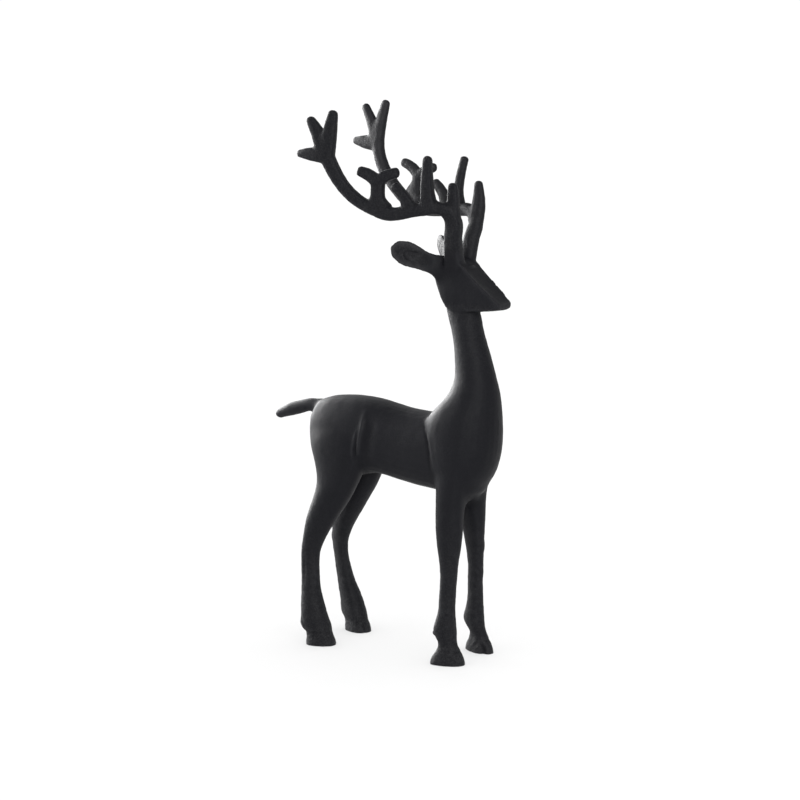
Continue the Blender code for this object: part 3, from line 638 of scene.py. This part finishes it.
class Skin:
    """The cast skin as the hand works it, in millimetres."""

    def __init__(self, mesh, form):
        self.mesh = mesh
        self.form = form
        self.points = mesh_array(mesh.vertices, "co", 3)
        self.edges = mesh_array(mesh.edges, "vertices", 2, int)
        self.scale = (VOXEL / form.voxel) ** 2

    def normals(self):
        """The normals of the skin as it is now."""
        self.mesh.vertices.foreach_set("co", self.points.ravel())
        self.mesh.update()
        return mesh_array(self.mesh.vertices, "normal", 3)

    def turns(self, count):
        """Rounds or turns for this skin's step."""
        return round(count * self.scale)

    def smoothed(self, shares, rounds):
        shares = np.broadcast_to(shares, len(self.points))
        return blend(self.points, self.edges, shares, self.turns(rounds))

    def soften(self):
        """Soften the joins, then everything a little, then the back of the rump."""
        self.points = self.smoothed(0.5 * nearest_of(self.points, SOFT_CRISPNESS, SOFT), BODY_ROUNDS)
        self.points = self.smoothed(0.5, ALL_ROUNDS)
        back = nearness(self.points, *RUMP_BACK) * ramp(self.points[:, 2], *UNDER_TAIL)
        self.points = self.smoothed(0.5 * back, RUMP_ROUNDS)

    def horn(self):
        """How far each point belongs to the antlers."""
        start = np.where(self.points[:, 0] > BROW_LINE, HORN_BEFORE, HORN_BEHIND)
        return ramp(self.points[:, 2], start, HORN_BLEND)

    def fill(self, horn):
        """Fill the forks of the antlers and the notches, and leave what stands out."""
        shares = 0.5 * np.maximum(horn, nearest_of(self.points, FILLED_CRISPNESS, FILLED))
        for _ in range(self.turns(FILL_TURNS)):
            normals = self.normals()
            for _ in range(FILL_ROUNDS):
                filled = blend(self.points, self.edges, shares, 1)
                hollow = ((filled - self.points) * normals).sum(axis=1) > 0.0
                self.points = np.where(hollow[:, None], filled, self.points)

    def level(self, horn):
        """Level the flat sides of the antlers, and keep their outline."""
        flat = horn * ramp(np.abs(self.normals()[:, 1]), 0.65, 0.25)
        level = self.points.copy()
        for share in LEVEL_SHARES * self.turns(LEVEL_TURNS):
            level = blend(level, self.edges, share * flat, 1)
        self.points[:, 1] = level[:, 1]

    def press(self, folds, depth):
        """Move the points along their normals by the folds, on both sides."""
        rise = np.zeros(len(self.points))
        for height, width, path in folds:
            for flank in (RIGHT, LEFT):
                gap, place = along_path(self.points * (1.0, flank, 1.0), path)
                fade = np.clip(3.0 * np.minimum(place, 1.0 - place), 0.0, 1.0)
                rise += height * fade * np.exp(-((gap / width) ** 2))
        self.points = self.points + self.normals() * (depth * rise)[:, None]

    def roughen(self, horn):
        """Leave the hand's unevenness and the chips; gives how rough each point is and its ear."""
        normals = self.normals()
        x, z = self.points[:, 0], self.points[:, 2]
        foot = ROUGH_FOOT * ramp(z, *FEET) + ROUGH_HOOF * ramp(z, *HOOFS)
        ear = ramp(x, *EARS_BACK) * ramp(z, *EARS_UP) * (z < EARS_TOP)
        nape = ROUGH_NAPE * ramp(z, *NAPE) * (z < NAPE_TOP)
        rough = np.max([ROUGH_HORN * horn, foot, ROUGH_EAR * ear, nape], axis=0)
        even = EVEN_RUMP * ramp(x, *RUMP) * (z > RUMP_FLOOR)
        rise = np.zeros(len(self.points))
        for seed, (period, height, further, evener) in enumerate(UNEVENNESS, 1):
            size = self.form.unevenness * (height + further * rough - evener * even)
            rise += size * along_noise(self.points, period, seed)
        for height, width, place in CHIPS:
            rise += height * np.exp(-((np.linalg.norm(self.points - place, axis=1) / width) ** 2))
        self.points = self.points + normals * rise[:, None]
        return rough, ear

    def mark(self, name, values):
        self.mesh.attributes.new(name, "FLOAT", "POINT").data.foreach_set("value", values)


def model_skin(mesh, form):
    """The skin softened, pressed and roughened, and marked for its coat."""
    skin = Skin(mesh, form)
    skin.soften()
    horn = skin.horn()
    skin.fill(horn)
    skin.level(horn)
    skin.press(FOLDS, 1.0)
    skin.press(FINE_FOLDS, form.relief)
    rough, ear = skin.roughen(horn)
    normals = skin.normals()
    depth = ((skin.smoothed(0.5, HOLLOW_ROUNDS) - skin.points) * normals).sum(axis=1)
    hollow = np.clip(depth / HOLLOW_DEPTH, -1.0, 1.0)
    # Painted highlight: the inner sides of the antlers are lightened, most towards the rear of the beams.
    inner_highlight = horn * ramp(-normals[:, 1] * np.sign(skin.points[:, 1]), 0.2, 0.5)
    inner_highlight *= np.interp(skin.points[:, 0], *HIGHLIGHT_ALONG)
    # The dishes of the ears, facing forwards, are made lighter.
    dish = ear * np.clip(3.0 * normals[:, 0], 0.0, 1.0)
    edge = (1.0 - horn) * np.clip(-hollow, 0.0, 1.0) ** 2
    skin.mark("hollow", hollow)
    skin.mark("rough", rough)
    # The mark carries the painted highlight of the antlers, the lighter ear dishes and the dust on the
    # body's edges.
    skin.mark("painted_highlight_and_dust", INNER_HORN_HIGHLIGHT * inner_highlight + EAR_LIGHTENING * dish + DUST_EDGE * edge)


def cast_lofts(form):
    """All the lofts of the figure as one skin, in millimetres."""
    casting = Casting()
    add_trunk(casting)
    add_neck(casting)
    add_head(casting)
    add_tail(casting)
    add_arch(casting)
    for flank in (RIGHT, LEFT):
        add_leg(casting, FRONT_LEG, flank)
        add_leg(casting, HIND_LEG, flank)
        add_ear(casting, flank)
        add_antler(casting, flank)
    mesh = bpy.data.meshes.new("lofts")
    casting.mesh.to_mesh(mesh)
    casting.mesh.free()
    lofts = bpy.data.objects.new("lofts", mesh)
    bpy.context.collection.objects.link(lofts)
    remesh = lofts.modifiers.new("cast", "REMESH")
    remesh.mode = "VOXEL"
    remesh.voxel_size = form.voxel
    graph = bpy.context.evaluated_depsgraph_get()
    skin = bpy.data.meshes.new_from_object(lofts.evaluated_get(graph))
    bpy.data.objects.remove(lofts)
    return skin


def thinned(mesh, triangles):
    """The skin with at most so many triangles, the flattest places thinned first."""
    made = sum(len(face.vertices) - 2 for face in mesh.polygons)
    if made <= triangles:
        return mesh
    holder = bpy.data.objects.new("holder", mesh)
    bpy.context.collection.objects.link(holder)
    thin = holder.modifiers.new("thin", "DECIMATE")
    thin.ratio = triangles / made
    thin.use_collapse_triangulate = True
    graph = bpy.context.evaluated_depsgraph_get()
    light = bpy.data.meshes.new_from_object(holder.evaluated_get(graph))
    bpy.data.objects.remove(holder)
    return light


def stand_flat(mesh):
    """The skin cut flat at the ground and fitted to the figure's box, in metres."""
    skin = bmesh.new()
    skin.from_mesh(mesh)
    geometry = skin.verts[:] + skin.edges[:] + skin.faces[:]
    cut = bmesh.ops.bisect_plane(
        skin, geom=geometry, dist=1e-5, plane_co=(0, 0, 0), plane_no=(0, 0, 1), clear_inner=True
    )
    rim = [edge for edge in cut["geom_cut"] if isinstance(edge, bmesh.types.BMEdge)]
    bmesh.ops.holes_fill(skin, edges=rim, sides=0)
    places = np.array([vertex.co[:] for vertex in skin.verts])
    low, high = places.min(axis=0), places.max(axis=0)
    low[2] = 0.0
    size = np.array(HIGH - LOW) / (high - low)
    for vertex, place in zip(skin.verts, np.array(LOW) + size * (places - low)):
        vertex.co = place
    bmesh.ops.triangulate(skin, faces=[face for face in skin.faces if len(face.verts) > 4])
    bmesh.ops.recalc_face_normals(skin, faces=skin.faces)
    for edge in skin.edges:
        faces = edge.link_faces
        edge.smooth = len(faces) == 2 and faces[0].normal.angle(faces[1].normal, 0.0) < math.radians(50)
    skin.to_mesh(mesh)
    skin.free()


class Field:
    """A socket of a material's nodes that works in Python expressions on values."""

    def __init__(self, tree, socket):
        self.tree = tree
        self.socket = socket

    def maths(self, operation, first, second):
        node = self.tree.nodes.new("ShaderNodeMath")
        node.operation = operation
        for slot, value in zip(node.inputs, (first, second)):
            if isinstance(value, Field):
                self.tree.links.new(value.socket, slot)
            else:
                slot.default_value = value
        return Field(self.tree, node.outputs[0])

    def __add__(self, other):
        return self.maths("ADD", self, other)

    __radd__ = __add__

    def __sub__(self, other):
        return self.maths("SUBTRACT", self, other)

    def __rsub__(self, other):
        return self.maths("SUBTRACT", other, self)

    def __mul__(self, other):
        return self.maths("MULTIPLY", self, other)

    __rmul__ = __mul__

    def at_least(self, other):
        return self.maths("MAXIMUM", self, other)


class Nodes:
    """A tree of shader nodes, with one method that adds any node to it."""

    def __init__(self, owner):
        owner.use_nodes = True
        self.tree = owner.node_tree
        self.tree.nodes.clear()

    def node(self, kind, settings=None, sockets=None, output=0):
        node = self.tree.nodes.new(kind)
        for name, value in (settings or {}).items():
            setattr(node, name, value)
        for name, value in (sockets or {}).items():
            if isinstance(value, Field):
                self.tree.links.new(value.socket, node.inputs[name])
            else:
                node.inputs[name].default_value = value
        return None if output is None else Field(self.tree, node.outputs[output])


class Finish(Nodes):
    """A material made of nodes."""

    def __init__(self, name):
        self.material = bpy.data.materials.new(name)
        super().__init__(self.material)
        self.place = self.node("ShaderNodeTexCoord", {}, {}, "Object")

    def speckle(self, period, detail, roughness=0.55):
        """Noise about 0 to 1 with a period in millimetres."""
        return self.node(
            "ShaderNodeTexNoise",
            {"noise_dimensions": "3D"},
            {"Vector": self.place, "Scale": 1.0 / (period * MM), "Detail": detail, "Roughness": roughness},
        )

    def mark(self, name):
        """A mark that the skin carries at each point."""
        return self.node("ShaderNodeAttribute", {"attribute_name": name}, {}, "Fac")

    def mix(self, share, first, second):
        """One colour turning into another by a share from 0 to 1."""
        return self.node("ShaderNodeMix", {"data_type": "RGBA"}, {0: share, 6: first, 7: second}, 2)

    def shine(self, sockets):
        """The finished material, with these sockets of its shader."""
        surface = self.node("ShaderNodeBsdfPrincipled", {}, sockets)
        self.node("ShaderNodeOutputMaterial", {}, {"Surface": surface}, None)
        return self.material


# Periods of the coat's noise in millimetres: lumps and clouds, and sand and dust as shares of the
# grain.
LUMPS, CLOUDS, SAND, DUST = 7.0, 38.0, 0.45, 0.65
# The grain's depth on the body, what roughness adds to it, and the depth of the lumps.
GRAIN_BODY, GRAIN_ROUGH, LUMP_DEPTH = 0.7, 2.2, 0.12
# The share of dust specks on the body, and what roughness adds to it.
DUST_BODY, DUST_ROUGH = 0.15, 0.7


def black_coat(coat):
    """A matte black coat over the grain of the casting, thin on the edges, with painted shade in the
    hollows and a painted highlight on the inner sides of the antlers.
    """
    finish = Finish("black_coat")
    grain = finish.speckle(coat.grain, 2.0)
    sand = finish.speckle(SAND * coat.grain, 1.0)
    lumps = finish.speckle(LUMPS, 3.0)
    cloud = finish.speckle(CLOUDS, 2.0)
    relief = finish.mark("hollow")
    rough = finish.mark("rough")
    hollow = relief.at_least(0.0)
    edge = (relief * -1.0).at_least(0.0)
    depth = coat.grain_depth * (GRAIN_BODY + GRAIN_ROUGH * rough)
    height = depth * (0.65 * grain + 0.35 * sand) + LUMP_DEPTH * lumps
    normal = finish.node(
        "ShaderNodeBump", {}, {"Strength": 1.0, "Distance": MM, "Height": height}
    )
    tone = 0.35 * cloud + 0.35 * lumps + 0.3 * edge - 0.4 * rough
    shade = finish.mix(tone, tuple(coat.deep), tuple(coat.colour))
    specks = finish.speckle(DUST * coat.grain, 2.0)
    dust_and_highlight = finish.node(
        "ShaderNodeMapRange", {}, {"Value": specks, "From Min": 0.4, "From Max": 0.8}
    )
    # Dust specks, plus the painted highlight and lighter ear dishes from the skin's mark.
    dust_and_highlight = finish.mark("painted_highlight_and_dust") + dust_and_highlight * (DUST_BODY + DUST_ROUGH * rough)
    shade = finish.mix(dust_and_highlight, shade, tuple(coat.dust_and_highlight))
    # Painted shade: the hollows are darkened towards the deep coat colour.
    shade = finish.mix(0.5 * hollow, shade, tuple(coat.deep))
    return finish.shine(
        {
            "Base Color": shade,
            "Roughness": coat.roughness + 0.12 * (lumps - 0.5) - 0.06 * edge + 0.08 * hollow,
            "Specular IOR Level": coat.sheen,
            "Normal": normal,
        }
    )


def pale_floor(stage):
    """A matt white sweep with a hardly visible cloud in it."""
    finish = Finish("pale_floor")
    cloud = finish.speckle(500.0, 2.0, 0.5)
    deep = tuple(0.97 * channel for channel in stage.floor[:3]) + (1.0,)
    tint = finish.mix(cloud, tuple(stage.floor), deep)
    return finish.shine({"Base Color": tint, "Roughness": 0.9, "Specular IOR Level": 0.1})


# Heights between which the studio dims, where 0 is the horizon and 1 is overhead.
DIM_FROM, DIM_TO = 0.12, 0.4


def pale_surroundings(stage):
    """A studio that is white round the horizon and dims overhead."""
    world = bpy.data.worlds.new("studio")
    studio = Nodes(world)
    way = studio.node("ShaderNodeTexCoord", {}, {}, "Generated")
    height = studio.node("ShaderNodeSeparateXYZ", {}, {"Vector": way}, "Z")
    strength = studio.node(
        "ShaderNodeMapRange",
        {"interpolation_type": "SMOOTHSTEP"},
        {
            "Value": height,
            "From Min": DIM_FROM,
            "From Max": DIM_TO,
            "To Min": stage.horizon,
            "To Max": stage.sky,
        },
    )
    white = studio.node("ShaderNodeBackground", {}, {"Color": (1.0, 1.0, 1.0, 1.0), "Strength": strength})
    studio.node("ShaderNodeOutputWorld", {}, {"Surface": white}, None)
    return world


class StagForm(bpy.types.PropertyGroup):
    voxel: FloatProperty(
        name="Skin step", description="Cell of the cast skin, in millimetres", default=0.8, min=0.6, max=3.0
    )
    triangles: IntProperty(
        name="Triangles", description="Most triangles in the skin", default=190000, min=20000, max=199000
    )
    relief: FloatProperty(
        name="Fine relief", description="Depth of the fine folds; 1 is as made", default=1.0,
        min=0.0, max=2.0,
    )
    unevenness: FloatProperty(
        name="Unevenness", description="Height of the hand's unevenness, in millimetres",
        default=0.28, min=0.0, max=1.0,
    )


class StagCoat(bpy.types.PropertyGroup):
    colour: FloatVectorProperty(
        name="Coat", description="Colour of the black coat", subtype="COLOR", size=4,
        default=(0.0051, 0.0054, 0.0078, 1.0), min=0.0, max=1.0,
    )
    # Also painted shade: the hollows are darkened towards this colour.
    deep: FloatVectorProperty(
        name="Deep coat", description="Colour of the coat where it lies thick", subtype="COLOR", size=4,
        default=(0.0033, 0.0034, 0.0048, 1.0), min=0.0, max=1.0,
    )
    # Also the colour of the painted highlight on the inner sides of the antlers and of the lighter ear
    # dishes.
    dust_and_highlight: FloatVectorProperty(
        name="Dust", description="Colour of the specks in the coat", subtype="COLOR", size=4,
        default=(0.022, 0.022, 0.024, 1.0), min=0.0, max=1.0,
    )
    roughness: FloatProperty(
        name="Roughness", description="Roughness of the coat", default=0.56, min=0.0, max=1.0,
        subtype="FACTOR",
    )
    sheen: FloatProperty(
        name="Reflection", description="Strength of the coat's reflection", default=0.112, min=0.0, max=1.0,
        subtype="FACTOR",
    )
    grain: FloatProperty(
        name="Grain", description="Width of the casting's grain, in millimetres", default=1.5,
        min=0.1, max=5.0,
    )
    grain_depth: FloatProperty(
        name="Grain depth", description="Depth of the casting's grain, in millimetres",
        default=0.22, min=0.0, max=1.0,
    )


class StagStage(bpy.types.PropertyGroup):
    floor: FloatVectorProperty(
        name="Floor", description="Colour of the floor", subtype="COLOR", size=4,
        default=(0.86, 0.86, 0.86, 1.0), min=0.0, max=1.0,
    )
    horizon: FloatProperty(
        name="Horizon", description="Brightness of the studio round the horizon", default=1.03, min=0.0
    )
    sky: FloatProperty(name="Sky", description="Brightness of the studio overhead", default=0.6, min=0.0)
    sweep: FloatProperty(
        name="Floor light", description="Soft light from above on the floor alone", default=1.95, min=0.0
    )
    rim: FloatProperty(
        name="Rim light", description="Softbox behind the tail, on the figure alone",
        default=98.0, min=0.0, unit="POWER",
    )
    key: FloatProperty(
        name="Key light", description="Softbox beside the camera, on the figure alone",
        default=20.0, min=0.0, unit="POWER",
    )
    azimuth: FloatProperty(
        name="Azimuth", description="Camera's place round the figure, from its right side",
        default=math.radians(32.93), subtype="ANGLE",
    )
    elevation: FloatProperty(
        name="Elevation", description="Camera's height over the figure's middle",
        default=math.radians(9.17), subtype="ANGLE",
    )
    distance: FloatProperty(
        name="Distance", description="Camera's distance from the figure", default=2.041, min=0.1,
        subtype="DISTANCE",
    )
    aim: FloatVectorProperty(
        name="Aim", description="The point in the middle of the picture", subtype="TRANSLATION", size=3,
        default=(0.01325, -0.00098, 0.208),
    )
    lens: FloatProperty(name="Lens", description="Focal length, in millimetres", default=112.23, min=1.0)


class STAG_OT_figure(bpy.types.Operator):
    """Cast the standing stag in one piece and give it its black coat"""

    bl_idname = "stag.figure"
    bl_label = "Cast the stag"

    def execute(self, context):
        form = context.scene.stag_form
        skin = cast_lofts(form)
        model_skin(skin, form)
        skin = thinned(skin, form.triangles)
        stand_flat(skin)
        skin.materials.append(black_coat(context.scene.stag_coat))
        skin.name = "stag_casting"
        stag = bpy.data.objects.new("stag_casting", skin)
        context.collection.objects.link(stag)
        skin.polygons.foreach_set("use_smooth", [True] * len(skin.polygons))
        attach(stag, "root")
        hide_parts("deer")
        return {"FINISHED"}


def around(azimuth, elevation, distance, aim):
    """A place seen from the aim at an azimuth and elevation in radians."""
    way = Vector(
        (
            math.sin(azimuth) * math.cos(elevation),
            -math.cos(azimuth) * math.cos(elevation),
            math.sin(elevation),
        )
    )
    return aim + way * distance


# Softboxes: turn round the figure from the camera, height over the figure's middle, and width and
# height in metres.
LAMP_DISTANCE = 1.6
RIM_TURN, RIM_HEIGHT, RIM_SIZE = math.radians(-131.0), math.radians(14.0), (1.7, 0.9)
KEY_TURN, KEY_HEIGHT, KEY_SIZE = math.radians(6.0), math.radians(24.0), (1.1, 1.5)
# How wide the floor light looks from the floor.
SWEEP_WIDTH = math.radians(80.0)
FLOOR_RADIUS = 24.0
FLOOR_GAP = 0.0002


class STAG_OT_stage(bpy.types.Operator):
    """Set up the pale floor, the soft lights and the camera"""

    bl_idname = "stag.stage"
    bl_label = "Set up the studio"

    def lamp(self, context, name, kind, power, place, lit, size=(1.0, 1.0)):
        """A light aimed at the figure that shines on one object alone."""
        light = bpy.data.lights.new(name, kind)
        light.energy = power
        if kind == "AREA":
            light.shape = "RECTANGLE"
            light.size, light.size_y = size
        else:
            light.angle = SWEEP_WIDTH
        lamp = bpy.data.objects.new(name, light)
        lamp.location = place
        lamp.rotation_mode = "QUATERNION"
        lamp.rotation_quaternion = (place - Vector(context.scene.stag_stage.aim)).to_track_quat("Z", "Y")
        lamp.visible_camera = False
        context.collection.objects.link(lamp)
        shone_on = bpy.data.collections.new(name + "_on")
        shone_on.objects.link(lit)
        lamp.light_linking.receiver_collection = shone_on
        lamp.light_linking.blocker_collection = shone_on

    def execute(self, context):
        stage = context.scene.stag_stage
        floor_skin = bmesh.new()
        bmesh.ops.create_circle(floor_skin, cap_ends=True, segments=96, radius=FLOOR_RADIUS)
        mesh = bpy.data.meshes.new("floor")
        floor_skin.to_mesh(mesh)
        floor_skin.free()
        mesh.materials.append(pale_floor(stage))
        floor = bpy.data.objects.new("floor", mesh)
        floor.location.z = LOW.z - FLOOR_GAP
        context.collection.objects.link(floor)
        context.scene.world = pale_surroundings(stage)
        aim = Vector(stage.aim)
        stag = bpy.data.objects["stag_casting"]
        rim = around(stage.azimuth + RIM_TURN, RIM_HEIGHT, LAMP_DISTANCE, aim)
        key = around(stage.azimuth + KEY_TURN, KEY_HEIGHT, LAMP_DISTANCE, aim)
        self.lamp(context, "rim_light", "AREA", stage.rim, rim, stag, RIM_SIZE)
        self.lamp(context, "key_light", "AREA", stage.key, key, stag, KEY_SIZE)
        self.lamp(context, "floor_light", "SUN", stage.sweep, aim + Vector((0, 0, 3)), floor)
        lens = bpy.data.cameras.new("camera")
        lens.sensor_width = 36.0
        lens.lens = stage.lens
        camera = bpy.data.objects.new("camera", lens)
        camera.location = around(stage.azimuth, stage.elevation, stage.distance, aim)
        camera.rotation_mode = "QUATERNION"
        camera.rotation_quaternion = (camera.location - aim).to_track_quat("Z", "Y")
        context.collection.objects.link(camera)
        context.scene.camera = camera
        context.scene.view_settings.view_transform = "Standard"
        return {"FINISHED"}


class STAG_PT_panel(bpy.types.Panel):
    """The stag's sizes, coat and studio"""

    bl_idname = "STAG_PT_panel"
    bl_label = "Cast stag"
    bl_space_type = "VIEW_3D"
    bl_region_type = "UI"
    bl_category = "Stag"

    def draw(self, context):
        for group, operator in (
            (context.scene.stag_form, None),
            (context.scene.stag_coat, STAG_OT_figure),
            (context.scene.stag_stage, STAG_OT_stage),
        ):
            box = self.layout.box()
            for name in group.__annotations__:
                box.prop(group, name)
            if operator:
                box.operator(operator.bl_idname)


CLASSES = (StagForm, StagCoat, StagStage, STAG_OT_figure, STAG_OT_stage, STAG_PT_panel)
GROUPS = {"stag_form": StagForm, "stag_coat": StagCoat, "stag_stage": StagStage}


def register():
    for made in CLASSES:
        bpy.utils.register_class(made)
    for name, group in GROUPS.items():
        setattr(bpy.types.Scene, name, PointerProperty(type=group))


def unregister():
    for name in GROUPS:
        delattr(bpy.types.Scene, name)
    for made in reversed(CLASSES):
        bpy.utils.unregister_class(made)


def main():
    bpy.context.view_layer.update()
    register()
    bpy.ops.stag.figure()
    bpy.ops.stag.stage()


if __name__ == "__main__":
    main()
